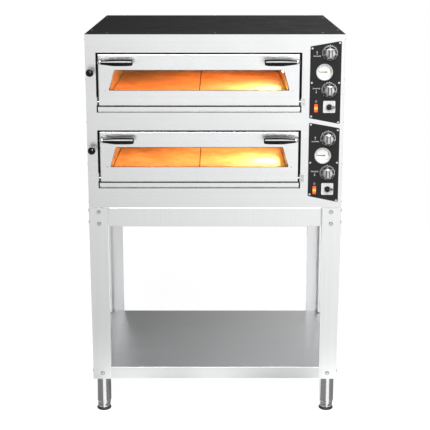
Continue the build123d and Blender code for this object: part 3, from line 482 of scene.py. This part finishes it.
def heat_icon(name, centre, face, element_below):
    """A wavy heating element with a heat arrow above or below it."""
    mesh = bmesh.new()
    front, back = face - EPS, face + EPS
    x0, z0 = centre
    line, half = 1.1 * MM, 0.55 * MM
    span, swing, waves, steps = 26 * MM, 2.0 * MM, 5, 60
    side = -1 if element_below else 1
    wave_z = z0 + side * 9 * MM
    points = []
    for i in range(steps + 1):
        part = i / steps
        height = swing * math.sin(part * waves * 2 * math.pi)
        points.append(Vector((x0 - span / 2 + span * part, wave_z + height)))
    for first, second in zip(points, points[1:]):
        way = (second - first).normalized()
        off = Vector((-way.y, way.x)) * line / 2
        ends = (first - off, second - off, second + off, first + off)
        slab(mesh, [(p.x, p.y) for p in ends], front, back)
    tail, tip = z0 + side * 4.5 * MM, z0 - side * 10 * MM
    neck = tip + side * 4.2 * MM
    slab(mesh, rectangle(x0 - half, x0 + half, tail, neck), front, back)
    slab(mesh, ((x0 - 3 * MM, neck), (x0 + 3 * MM, neck), (x0, tip)), front, back)
    for edge in (-1, 1):
        x = x0 + edge * span / 2
        slab(mesh, rectangle(x - half, x + half, wave_z - 3 * MM, wave_z + 3 * MM), front, back)
    return finish_piece(mesh, name, ROOT, "knob_body", prints, smooth=False)


def lamp_icon(name, centre, face):
    """A small power ring above the pilot lamp."""
    mesh = bmesh.new()
    front, back = face - EPS, face + EPS
    arc_band(mesh, centre, 3.4 * MM, 0.9 * MM, 120, 420, front, back, 30)
    radial_bar(mesh, centre, 90, 1.2 * MM, 5.0 * MM, 0.9 * MM, front, back)
    return finish_piece(mesh, name, ROOT, "knob_body", prints, smooth=False)


def print_panel(deck):
    """All the printing of one control plate."""
    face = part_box(f"control_plate_{deck}")[0].y
    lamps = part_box("pilot_lamps")
    column = (lamps[0].x + lamps[1].x) / 2
    for place in PLACES:
        knob = middle_of(f"thermostat_knob_{deck}_{place}")
        scale_ring(f"scale_{deck}_{place}", (knob.x, knob.z), face)
        heat_icon(f"heat_icon_{deck}_{place}", (column, knob.z - 3 * MM), face, place == "top")
    switch = middle_of(f"switch_handle_{deck}")
    lamp_icon(f"power_icon_{deck}", (column, switch.z + 21 * MM), face)


# ---------------------------------------------------------------- thermostat knobs
def black_rubberised():
    """The soft black of the knobs' inlays."""
    mat, tree, shader = principled("knob_skirt", (0.018, 0.018, 0.019), 0.4)
    mottle(tree, shader, (0.018, 0.018, 0.019), 0.3, noise(tree, (90, 90, 90), 5.0, 0.7))
    bump(tree, shader, noise(tree, (1600, 1600, 1600), 2.0), 0.00005, 0.6)
    return mat


KNOB_REACH = 32 * MM
INLAYS, INLAY_START, INLAY_HALF = 7, 118, 19.5  # how many, and two angles in degrees


def knob(deck, place):
    """A satin metal knob: skirt with black inlays, domed cap and a broad upright grip, with painted shade as
    black strips along both flanks of the grip.
    """
    source = f"thermostat_knob_{deck}_{place}"
    body = f"knob_{deck}_{place}"
    lo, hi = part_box(source)
    centre = Vector(((lo.x + hi.x) / 2, lo.y + KNOB_REACH, (lo.z + hi.z) / 2))

    def fluted(index, radius, angle):
        """Grooves round the skirt's edge."""
        if index in (2, 3):
            return radius - 0.7 * MM * max(0.0, math.cos(angle * 36)) ** 3
        return radius

    skirt = bmesh.new()
    rim = (
        (20, 3), (25.6, 3.0), (26.5, 3.9), (26.5, 8.6),
        (25.2, 11.4), (24.6, 12.2), (19.9, 12.9), (19.4, 11.0),
    )
    lathe(skirt, [(r * MM, h * MM) for r, h in rim], centre, steps=288, radius_at=fluted)
    finish_piece(skirt, f"knob_skirt_{deck}_{place}", body, "knob_body", knob_grey)

    inlay = bmesh.new()
    front, back = centre.y - 13.1 * MM, centre.y - 10.8 * MM
    for turn in range(INLAYS):
        aim = INLAY_START + turn * 360 / INLAYS
        spread = (aim - INLAY_HALF, aim + INLAY_HALF)
        arc_band(inlay, (centre.x, centre.z), 22.9 * MM, 5.0 * MM, *spread, front, back, 12)
    finish_piece(inlay, f"knob_inlay_{deck}_{place}", body, "control_black", skirt_black, smooth=False)

    cap = bmesh.new()
    dome = ((19.5, 11.5), (19.4, 16), (19.1, 19.6), (18.2, 21.2), (16.8, 22), (10, 22.3), (0, 22.4))
    lathe(cap, [(r * MM, h * MM) for r, h in dome], centre, steps=96)
    finish_piece(cap, f"knob_cap_{deck}_{place}", body, "knob_body", replaces=(source,))

    grip = bmesh.new()
    grip_bar(grip, centre, 7.0 * MM, 15.5 * MM, 21.6 * MM, KNOB_REACH)
    finish_piece(grip, f"knob_grip_{deck}_{place}", body, "knob_body", bevel=0.9 * MM)

    mark = bmesh.new()
    front, half, flank = centre.y - KNOB_REACH - EPS, 0.7 * MM, 13.2 * MM
    pointer = rectangle(centre.x - half, centre.x + half, centre.z + 6 * MM, centre.z + 14 * MM)
    slab(mark, pointer, front, front + 0.4 * MM)
    # Painted shade: the black strips on both flanks of the grip stand in for the grip's shadowed sides; only
    # the pointer above is a printed mark.
    for side in (-1, 1):
        near, far = sorted((centre.x + side * 5.6 * MM, centre.x + side * 7.5 * MM))
        strip = rectangle(near, far, centre.z - flank, centre.z + flank)
        slab(mark, strip, centre.y - 29.5 * MM, centre.y - 21.8 * MM)
    finish_piece(mark, f"knob_mark_{deck}_{place}", body, "control_black", skirt_black, smooth=False)


def grip_bar(mesh, centre, half_width, half_height, root, tip):
    """The upright grip: rounded ends, pinched waist, a little narrower at its tip."""
    levels, steps = 5, 48
    rings = []
    for level in range(levels + 1):
        part = level / levels
        reach = root + (tip - root) * part
        narrow = 1 - 0.22 * part
        ring = []
        for step in range(steps):
            angle = 2 * math.pi * step / steps
            c, s = math.cos(angle), math.sin(angle)
            waist = 1 - 0.16 * part * math.cos(math.asin(max(-1, min(1, s)))) ** 2
            x = math.copysign(abs(c) ** 0.35, c) * half_width * narrow * waist
            z = math.copysign(abs(s) ** 0.55, s) * half_height * (1 - 0.05 * part)
            ring.append(mesh.verts.new((centre.x + x, centre.y - reach, centre.z + z)))
        rings.append(ring)
    for low, high in zip(rings, rings[1:]):
        for i in range(steps):
            j = (i + 1) % steps
            mesh.faces.new((low[i], low[j], high[j], high[i]))
    mesh.faces.new(rings[-1])


skirt_black = black_rubberised()
knob_grey = brushed("knob_grey", (0.42, 0.42, 0.43), 0.34, (700, 700, 700), 0.06)


# ---------------------------------------------------------------- thermometers
dial_paint = speckled("dial_white", (0.84, 0.845, 0.83), 0.45, 0.04, 120, 4.0)
red_paint = speckled("scale_red", (0.70, 0.05, 0.03), 0.5, 0.15, 500)
hub_paint = speckled("hub_green", (0.55, 0.60, 0.12), 0.4, 0.15, 500)
GAUGE_DEPTH = 8 * MM  # from the front of the case back to the dial


def gauge(deck):
    """White dial with its printed scale and red warning arc, and the needle's hub cap."""
    lo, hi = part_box(f"gauge_needle_{deck}")
    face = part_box("gauge_cases")[0].y + GAUGE_DEPTH
    centre = (middle_of("gauge_lenses").x, (lo.z + hi.z) / 2)

    dial = bmesh.new()
    place = Vector((centre[0], face, centre[1]))
    outline = ((1.6, 0.0), (1.6, 0.5), (27.6, 0.5), (28.6, 1.0), (29.4, 1.2), (29.4, 0.1))
    lathe(dial, [(r * MM, h * MM) for r, h in outline], place, steps=96)
    finish_piece(dial, f"gauge_dial_{deck}", ROOT, "switch_white", dial_paint)

    ticks = bmesh.new()
    front, back = face - 0.62 * MM, face - 0.45 * MM
    count = 50
    for step in range(count + 1):
        angle = DIAL_START + DIAL_TURN * step / count
        long = step % 10 == 0
        inner = (19.5 if long else 22.0 if step % 5 == 0 else 23.4) * MM
        radial_bar(ticks, centre, angle, inner, 25.4 * MM, (0.9 if long else 0.4) * MM, front, back)
    arc_band(ticks, centre, 25.6 * MM, 0.35 * MM, DIAL_START, DIAL_START + DIAL_TURN, front, back, 90)
    finish_piece(ticks, f"gauge_scale_{deck}", ROOT, "needle_black", smooth=False)

    red = bmesh.new()
    arc_band(red, centre, 25.2 * MM, 2.6 * MM, -8, 28, front, back, 24)
    finish_piece(red, f"gauge_warning_{deck}", ROOT, "switch_white", red_paint, smooth=False)

    hub = bmesh.new()
    place = Vector((centre[0], lo.y + 0.1 * MM, centre[1]))
    cap = ((3.0, 0), (3.0, 0.35), (2.2, 0.7), (0, 0.85))
    lathe(hub, [(r * MM, h * MM) for r, h in cap], place, steps=40)
    finish_piece(hub, f"gauge_hub_{deck}", f"needle_{deck}", "needle_black", hub_paint)


# ---------------------------------------------------------------- main switches
def switch(deck):
    """The cam switch's handle: a flared disc with a pointer bar and its white line."""
    source = f"switch_handle_{deck}"
    body = f"handle_{deck}"
    lo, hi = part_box(source)
    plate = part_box("cam_switches")
    x, z = (plate[0].x + plate[1].x) / 2, (lo.z + hi.z) / 2
    top = lo.y

    disc = bmesh.new()
    outline = ((11.3, 0.5), (11.5, 1.2), (11.4, 6.5), (10.6, 8.6), (9.0, 9.4), (0, 9.6))
    lathe(disc, [(r * MM, h * MM) for r, h in outline], Vector((x, top + 15 * MM, z)), steps=72)
    finish_piece(disc, f"switch_disc_{deck}", body, "switch_grey", replaces=(source,))

    bar = bmesh.new()
    outline = []
    steps = 12
    for step in range(steps + 1):
        angle = math.radians(-90 + 180 * step / steps)
        outline.append((x + 18 * MM + 3.0 * MM * math.cos(angle), z + 3.4 * MM * math.sin(angle)))
    outline += [(x - 7 * MM, z + 4.6 * MM), (x - 9 * MM, z + 3.2 * MM)]
    outline += [(x - 9 * MM, z - 3.2 * MM), (x - 7 * MM, z - 4.6 * MM)]
    slab(bar, outline, top, top + 13 * MM)
    finish_piece(bar, f"switch_bar_{deck}", body, "switch_grey", bevel=0.9 * MM)

    line = bmesh.new()
    half = 0.6 * MM
    slab(line, rectangle(x + 6 * MM, x + 18 * MM, z - half, z + half), top - EPS, top + 0.3 * MM)
    finish_piece(line, f"switch_line_{deck}", body, "switch_white", smooth=False)

    marks = bmesh.new()
    face = plate[0].y
    radial_bar(marks, (x, z), 0, 22.2 * MM, 23.2 * MM, 3.4 * MM, face - EPS, face + EPS)
    arc_band(marks, (x, z - 19 * MM), 1.7 * MM, 0.6 * MM, 0, 360, face - EPS, face + EPS, 28)
    finish_piece(marks, f"switch_marks_{deck}", ROOT, "switch_grey", smooth=False)


# ---------------------------------------------------------------- ball knobs and grips
def vent_ball(deck):
    """The phenolic ball on the vent pull, with its short collar."""
    source = f"vent_knob_{deck}"
    lo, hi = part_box(source)
    x, z = (lo.x + hi.x) / 2, (lo.z + hi.z) / 2
    radius = (hi.z - lo.z) / 2
    centre = Vector((x, lo.y + radius, z))
    outline = []
    steps, sweep = 24, 0.84 * math.pi
    for step in range(steps + 1):
        angle = math.pi / 2 - sweep * step / steps
        outline.append((radius * math.cos(angle), radius * math.sin(angle)))
    outline[0] = (0, radius)
    collar = ((7.7, -14.4), (7.4, -20.2), (7.0, -20.9), (5.2, -21.0), (4.05, -20.6))
    outline += [(r * MM, h * MM) for r, h in collar]
    ball = bmesh.new()
    lathe(ball, outline, centre, steps=72)
    return finish_piece(ball, f"vent_ball_{deck}", f"vent_{deck}", "black_grip", replaces=(source,))


def grips(deck):
    """The pair of flared door grips, each closed by a steel ferrule at its thin end."""
    source = f"door_grips_{deck}"
    lo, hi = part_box(source)
    y, z = (lo.y + hi.y) / 2, (lo.z + hi.z) / 2
    profile = (
        (6.2, 0), (7.6, 0.2), (8.2, 1.0), (8.6, 6), (9.6, 14), (10.7, 22), (12.0, 32), (13.2, 42),
        (13.9, 54), (14.0, 66), (14.0, 80), (13.8, 96), (13.4, 108), (12.7, 116), (11.4, 120.6),
        (9.2, 122.6), (5.0, 123), (0, 123),
    )
    ferrule = ((6.3, -4.2), (7.6, -4.2), (8.1, -3.6), (8.3, 0.6), (7.9, 1.4), (6.3, 1.4))
    pair = bmesh.new()
    rings = bmesh.new()
    for side, start in ((1, lo.x), (-1, hi.x)):
        place = Vector((start, y, z))
        lathe(pair, [(r * MM, side * h * MM) for r, h in profile], place, "X", 72)
        lathe(rings, [(r * MM, side * h * MM) for r, h in ferrule], place, "X", 48)
    finish_piece(pair, f"door_grip_pair_{deck}", f"door_{deck}", "black_grip", replaces=(source,))
    finish_piece(rings, f"grip_ferrules_{deck}", f"door_{deck}", "chrome")


# ---------------------------------------------------------------- window seals
WINDOW_Z = (59.5, 139.5)  # millimetres above the door's lower edge
WINDOW_HALF = (350.5, 327.3)  # half widths at the bottom and the top
SEAL_WIDTH, SEAL_CORNER = 2.0, 4.0
seal_black = speckled("seal_black", (0.02, 0.012, 0.008), 0.6, 0.3, 300, Specular_IOR_Level=0.2)


def window_outline(inset):
    """The window's trapezoid, an inset smaller all round, with rounded corners."""
    slope = (WINDOW_HALF[0] - WINDOW_HALF[1]) / (WINDOW_Z[1] - WINDOW_Z[0])
    low, high = WINDOW_Z[0] + inset, WINDOW_Z[1] - inset
    wide = WINDOW_HALF[0] - slope * inset - inset
    narrow = WINDOW_HALF[1] + slope * inset - inset
    corners = [Vector(p) for p in ((-wide, low), (wide, low), (narrow, high), (-narrow, high))]
    reach = SEAL_CORNER - inset * 0.8
    steps = 6
    ring = []
    for i, point in enumerate(corners):
        before, after = corners[i - 1] - point, corners[(i + 1) % 4] - point
        start, end = point + before.normalized() * reach, point + after.normalized() * reach
        for step in range(steps + 1):
            t = step / steps
            ring.append(start * (1 - t) ** 2 + point * 2 * t * (1 - t) + end * t ** 2)
    return ring


def window_seal(deck):
    """A black bead round the edge of the window, inside the thickness of the door's skin."""
    lo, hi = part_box(f"door_panel_{deck}")
    middle = (lo.x + hi.x) / 2
    shapes = [
        [(middle + p.x * MM, lo.z + p.y * MM) for p in window_outline(inset)] for inset in (0.0, SEAL_WIDTH)
    ]
    mesh = bmesh.new()
    band(mesh, *shapes, lo.y + 0.25 * MM, lo.y + 1.1 * MM, True)
    finish_piece(mesh, f"window_seal_{deck}", f"door_{deck}", "gasket_fibre", seal_black, smooth=False)


# ---------------------------------------------------------------- hearth joints
STONE_THICKNESS = 17 * MM


def hearth_joint(deck):
    """The sooty joint between the two hearth stones, uneven and level with their chamfers."""
    lo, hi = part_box("hearth_stones")
    hearth = {"upper": hi.z, "lower": lo.z + STONE_THICKNESS}[deck]
    x = middle_of(f"door_panel_{deck}").x
    mesh = bmesh.new()
    count, short, deep = 60, 2 * MM, 0.9 * MM
    rows = []
    for i in range(count + 1):
        y = lo.y + short + (hi.y - lo.y - 2 * short) * i / count
        half = (1.75 + 0.15 * math.sin(i * 1.7) + 0.1 * math.sin(i * 0.63)) * MM
        top = hearth + (0.25 + 0.12 * math.sin(i * 2.3)) * MM
        spots = ((-half, -deep), (-half, 0), (0, 0.15 * MM), (half, 0), (half, -deep))
        rows.append([mesh.verts.new((x + dx, y, top + dz)) for dx, dz in spots])
    sides = len(rows[0])
    for near, far in zip(rows, rows[1:]):
        for i in range(sides):
            j = (i + 1) % sides
            mesh.faces.new((near[i], near[j], far[j], far[i]))
    mesh.faces.new(rows[0])
    mesh.faces.new(rows[-1])
    finish_piece(mesh, f"hearth_joint_{deck}", ROOT, "stone", soot)


def joint_soot():
    """Crumbly soot in the joint."""
    mat, tree, shader = principled("joint_soot", (0.06, 0.03, 0.015), 0.95, Specular_IOR_Level=0.1)
    crumbs = noise(tree, (600, 600, 600), 3.0)
    mottle(tree, shader, (0.06, 0.03, 0.015), 0.4, crumbs)
    bump(tree, shader, crumbs, 0.0004, 0.8)
    return mat


soot = joint_soot()


# ---------------------------------------------------------------- levelling feet
SPANNER = 50 * MM  # across the flats


def foot(end, side):
    """Chromed foot insert with spanner flats and a domed shoulder, on a black moulded pad."""
    source = f"foot_{end}_{side}"
    lo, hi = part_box(source)
    centre = Vector(((lo.x + hi.x) / 2, (lo.y + hi.y) / 2, 0))

    def flats(index, radius, angle):
        """Six spanner flats on the lower ring."""
        if index in (2, 3):
            sector = math.pi / 3
            local = (angle + sector / 2) % sector - sector / 2
            return min(radius, SPANNER / 2 / math.cos(local))
        return radius

    insert = bmesh.new()
    outline = (
        (10, 12.0), (24.5, 12.0), (27.4, 13.2), (27.4, 26.0), (27.5, 27.2), (27.5, 35.5), (26.4, 38.4),
        (23.5, 39.6), (10, 39.8), (10, 99), (8.8, 100), (0, 100),
    )
    lathe(insert, [(r * MM, min(h * MM, hi.z)) for r, h in outline], centre, "Z", 96, flats)
    finish_piece(insert, f"{source}_insert", source, "chrome", replaces=(source,))

    pad = bmesh.new()
    outline = (
        (0, 0.0), (25.5, 0.0), (27.0, 0.4), (29.0, 2.2), (29.5, 4.2), (29.2, 6.6), (27.6, 9.4), (24.6, 11.4),
        (21.0, 12.1), (0, 12.2),
    )
    lathe(pad, [(r * MM, h * MM) for r, h in outline], centre, "Z", 72)
    finish_piece(pad, f"{source}_pad", source, "gland_black")


# ---------------------------------------------------------------- build
for deck in DECKS:
    print_panel(deck)
    gauge(deck)
    switch(deck)
    vent_ball(deck)
    grips(deck)
    window_seal(deck)
    hearth_joint(deck)
    for place in PLACES:
        knob(deck, place)

for end in ("front", "rear"):
    for side in ("left", "right"):
        foot(end, side)


# ---------------------------------------------------------------- studio
FLOOR_HALF_WIDTH, FLOOR_FRONT, FLOOR_BACK = 1.7, -0.9, 2.2
FLOOR_GLOW = 0.86  # keeps the floor white for the camera
# Brightness of the surroundings by bearing, in degrees from straight ahead of the oven (positive to the
# right), and by height, from -1 straight down to 1 straight up. The two are multiplied.
BEARINGS = (
    (-180, 0.48), (-172, 0.06), (-150, 0.36), (-110, 0.55), (-75, 0.80), (-55, 0.70), (-40, 0.22),
    (-27, 0.32), (-12, 0.64), (0, 0.93), (12, 1.22), (26, 1.5), (44, 1.35), (62, 0.5), (82, 0.34),
    (104, 0.45), (150, 0.75), (172, 1.4), (180, 0.48),
)
HEIGHTS = (
    (-0.42, 1.15), (-0.30, 1.62), (-0.22, 1.88), (-0.12, 2.85), (0.03, 2.1), (0.15, 1.1), (1.0, 1.1),
)
BEARING_TOP, HEIGHT_TOP = 2.0, 3.0  # the ramps hold levels from 0 to 1, so both lists are divided by these
# For each deck: the elements' glow in watts and its colour, and the chamber lamp in watts.
GLOWS = {"upper": (1.25, (1, 0.17, 0.02), 1.9), "lower": (1.55, (1, 0.25, 0.06), 2.1)}
LAMP_HUE = (0.95, 1, 0.38)
LAMP_GLASS = 66 * MM  # across a chamber lamp's glass
CARD_GREY, CARD_REACH, CARD_HOLE = 0.28, 0.45, 38 * MM  # the hole is left free for the foot
# The camera: how far in front of the fascia, how high and how far tilted down, in metres and degrees.
EYE_DISTANCE, EYE_HEIGHT, EYE_TILT = 4.2, 1.957, 13.2
LENS, SENSOR, SHIFT = 91.5, 36, -0.075


def floor():
    """A plain pale floor under the object."""
    mesh = bmesh.new()
    for x, y in rectangle(-FLOOR_HALF_WIDTH, FLOOR_HALF_WIDTH, FLOOR_FRONT, FLOOR_BACK):
        mesh.verts.new((x, y, -0.5 * MM))
    mesh.faces.new(mesh.verts)
    mat, _, shader = principled("floor", (0.36, 0.36, 0.36), 0.9, Specular_IOR_Level=0.0)
    shader.inputs["Emission Color"].default_value = (1, 1, 1, 1)
    shader.inputs["Emission Strength"].default_value = FLOOR_GLOW
    to_object(mesh, "floor", mat)


def grey_ramp(tree, source, stops, top):
    """A ramp of plain levels; stops are (place, level), the levels divided by top."""
    grey = node(tree, "RGBToBW")
    shades = [(place, (level / top,) * 3) for place, level in stops]
    tree.links.new(tint(tree, source, shades), grey.inputs["Color"])
    return grey.outputs["Val"]


def times(tree, first, second):
    """The product of a socket and a socket or number."""
    made = node(tree, "Math", operation="MULTIPLY")
    tree.links.new(first, made.inputs[0])
    if isinstance(second, float):
        made.inputs[1].default_value = second
    else:
        tree.links.new(second, made.inputs[1])
    return made.outputs[0]


def sky():
    """Plain white for the camera. For light and reflections its brightness follows BEARINGS and HEIGHTS:
    brightest to the front right, with darker bands that give the metal its edges."""
    world = bpy.data.worlds.new("studio")
    bpy.context.scene.world = world
    world.use_nodes = True
    tree = world.node_tree
    back = tree.nodes["Background"]
    where = node(tree, "TexCoord")
    split = node(tree, "SeparateXYZ")
    tree.links.new(where.outputs["Generated"], split.inputs["Vector"])
    bearing = node(tree, "Math", operation="ARCTAN2")
    tree.links.new(split.outputs["X"], bearing.inputs[0])
    tree.links.new(times(tree, split.outputs["Y"], -1.0), bearing.inputs[1])
    around = remap(tree, bearing.outputs[0], 0.0, 1.0, -math.pi, math.pi)
    height = remap(tree, split.outputs["Z"], 0.0, 1.0, -1.0, 1.0)
    bearings = [((degrees + 180) / 360, level) for degrees, level in BEARINGS]
    heights = [((z + 1) / 2, level) for z, level in HEIGHTS]
    rise = times(tree, grey_ramp(tree, height, heights, HEIGHT_TOP), HEIGHT_TOP)
    product = times(tree, grey_ramp(tree, around, bearings, BEARING_TOP), rise)
    path = node(tree, "LightPath")
    choice = node(tree, "Mix", data_type="FLOAT")
    tree.links.new(path.outputs["Is Camera Ray"], choice.inputs["Factor"])
    tree.links.new(product, choice.inputs["A"])
    choice.inputs["B"].default_value = 1.0
    tree.links.new(choice.outputs["Result"], back.inputs["Strength"])
    back.inputs["Color"].default_value = (1, 1, 1, 1)


def softbox(name, place, aim, size, power, colour=(1, 1, 1), gloss_only=False):
    """A rectangular lamp at a place, turned towards the point aim; power is in watts."""
    data = bpy.data.lights.new(name, "AREA")
    data.shape, data.size, data.size_y = "RECTANGLE", *size
    data.energy, data.color = power, colour
    lamp = bpy.data.objects.new(name, data)
    lamp.visible_diffuse = not gloss_only
    lamp.location = place
    lamp.rotation_euler = (Vector(aim) - Vector(place)).to_track_quat("-Z", "Y").to_euler()
    bpy.context.scene.collection.objects.link(lamp)
    return lamp


def chamber_light(deck):
    """The warm lamp on the right wall and the orange glow of the elements, front and back."""
    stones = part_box("hearth_stones")
    lo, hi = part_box("lamp_glasses")
    glow, hue, lamp = GLOWS[deck]
    middle_z = {"upper": hi.z, "lower": lo.z + LAMP_GLASS}[deck] - LAMP_GLASS / 2
    side = lo.x - 12 * MM
    near = stones[0].y + 0.16
    softbox(f"lamp_{deck}", (side, near, middle_z), (side - 1, near, middle_z), (0.06, 0.06), lamp, LAMP_HUE)
    middle = (stones[0].x + stones[1].x) / 2
    glows = (
        ("front", middle - 0.1, near, 0.5, glow),
        ("back", middle + 0.1, near + 0.3, 0.45, glow * 0.6),
    )
    for name, x, y, width, power in glows:
        place, below = (x, y, middle_z + 50 * MM), (x, y, middle_z - 1)
        softbox(f"glow_{name}_{deck}", place, below, (width, 0.25), power, hue)


def flag(name, centre, start, end):
    """A dark card on the floor, seen only in reflections; a fan between two bearings from straight ahead."""
    mesh = bmesh.new()
    count = 16
    bearings = [math.radians(start + (end - start) * i / count) for i in range(count + 1)]
    rows = [
        [mesh.verts.new((centre.x + r * math.sin(a), centre.y - r * math.cos(a), EPS)) for a in bearings]
        for r in (CARD_HOLE, CARD_REACH)
    ]
    for i in range(count):
        mesh.faces.new((rows[0][i], rows[0][i + 1], rows[1][i + 1], rows[1][i]))
    mat = principled(name, (CARD_GREY,) * 3, 1.0, Specular_IOR_Level=0.0)[0]
    card = to_object(mesh, name, mat)
    card.visible_camera = card.visible_diffuse = card.visible_shadow = False


def only_for(lamp, pieces):
    """Lets a lamp light these pieces alone."""
    group = bpy.data.collections.new(lamp.name + "_receivers")
    for piece in pieces:
        group.objects.link(piece)
    lamp.light_linking.receiver_collection = group


def camera():
    """A straight-on view from a little above the top."""
    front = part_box("fascia")[0].y
    data = bpy.data.cameras.new("camera")
    data.sensor_width, data.lens, data.shift_y = SENSOR, LENS, SHIFT
    data.clip_end = 100
    eye = bpy.data.objects.new("camera", data)
    eye.location = (0, front - EYE_DISTANCE, EYE_HEIGHT)
    eye.rotation_euler = (math.radians(90 - EYE_TILT), 0, 0)
    bpy.context.scene.collection.objects.link(eye)
    bpy.context.scene.camera = eye


floor()
sky()
softbox("key", (2.6, -3.4, 3.2), (0, 0, 0.9), (2.2, 2.2), 60).visible_glossy = False
softbox("fill", (0.2, -2.6, 3.6), (0, 0, 0.8), (3, 3), 95).visible_glossy = False
softbox("strip", (0.3, -2.9, 4.1), (0, -0.4, 1.2), (4.5, 0.9), 190, gloss_only=True)
# Two lamps that only put highlights on the black parts.
shine = softbox("grip_strip", (0, -3.1, 2.7), (0, -0.6, 1.4), (5, 1.9), 1500, gloss_only=True)
only_for(shine, [bpy.data.objects[f"door_grip_pair_{deck}"] for deck in DECKS])
shine = softbox("ball_spot", (0.8, -2.7, 2.6), (-0.45, -0.5, 1.3), (0.42, 0.42), 420, gloss_only=True)
only_for(shine, [bpy.data.objects[f"vent_ball_{deck}"] for deck in DECKS])
# The gap between a foot's two cards faces the camera.
for side in ("left", "right"):
    foot_middle = middle_of(f"foot_front_{side}")
    flag(f"flag_{side}_a", foot_middle, -100, -6)
    flag(f"flag_{side}_b", foot_middle, 40, 175)
for deck in DECKS:
    chamber_light(deck)
camera()
bpy.context.scene.view_settings.view_transform = "Standard"
